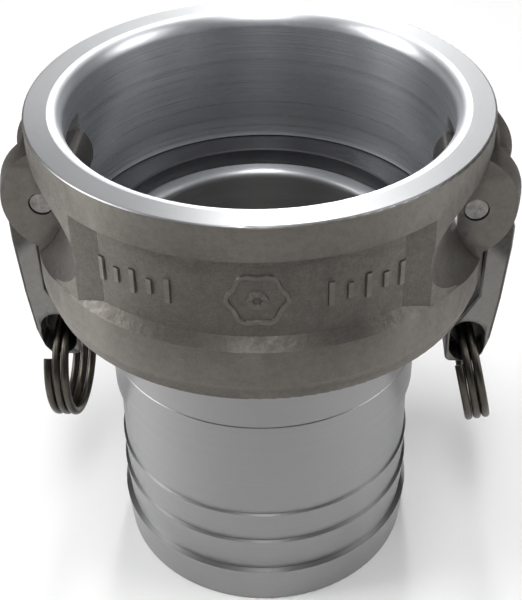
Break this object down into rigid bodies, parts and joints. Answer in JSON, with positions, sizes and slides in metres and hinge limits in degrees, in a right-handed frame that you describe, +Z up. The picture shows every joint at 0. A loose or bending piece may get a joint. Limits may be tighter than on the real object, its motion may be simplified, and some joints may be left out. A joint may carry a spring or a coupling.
{
  "type": "camlock hose coupling",
  "caption": "Female cam-and-groove hose coupling: round socket with a sealing ring, hinged cam arms with pull rings, and a barbed hose shank.",
  "frame": {"origin": "on the coupling's axis, at the open end of the hose shank", "axes": "+Z up along the coupling's axis, out of the socket's mouth; the two cam arms are at +X and -X; -Y is the front"},
  "size_m": [0.1612, 0.1446, 0.1727],
  "materials": {
    "cast_body": "sand-cast outside; rim, bowl, seat and shank turned bright",
    "seal_rubber": "smooth matt black nitrile",
    "pin_steel": "dull steel",
    "arm_steel": "cast stainless steel, dull dark grey",
    "ring_wire": "drawn steel wire, dull"
  },
  "bodies": {
    "coupling": {"coupling_body": "cast_body", "gasket": "seal_rubber", "pivot_pin_right": "pin_steel", "pivot_pin_left": "pin_steel"},
    "arm_right": {"cam_arm_right": "arm_steel"},
    "arm_left": {"cam_arm_left": "arm_steel"},
    "ring_right": {"pull_ring_right": "ring_wire"},
    "ring_left": {"pull_ring_left": "ring_wire"}
  },
  "joints": [
    {"name": "arm_right_hinge", "type": "hinge", "parent": "coupling", "child": "arm_right", "pos_m": [0.0662, 0, 0.1467], "axis": [0, -1, 0], "range_deg": [0, 105]},
    {"name": "arm_left_hinge", "type": "hinge", "parent": "coupling", "child": "arm_left", "pos_m": [-0.0662, 0, 0.1467], "axis": [0, 1, 0], "range_deg": [0, 105]},
    {"name": "ring_right_swing", "type": "hinge", "parent": "arm_right", "child": "ring_right", "pos_m": [0.0686, 0, 0.0877], "axis": [0, -1, 0], "range_deg": [-24, 22]},
    {"name": "ring_left_swing", "type": "hinge", "parent": "arm_left", "child": "ring_left", "pos_m": [-0.0693, 0, 0.0862], "axis": [0, 1, 0], "range_deg": [-18, 20]}
  ]
}
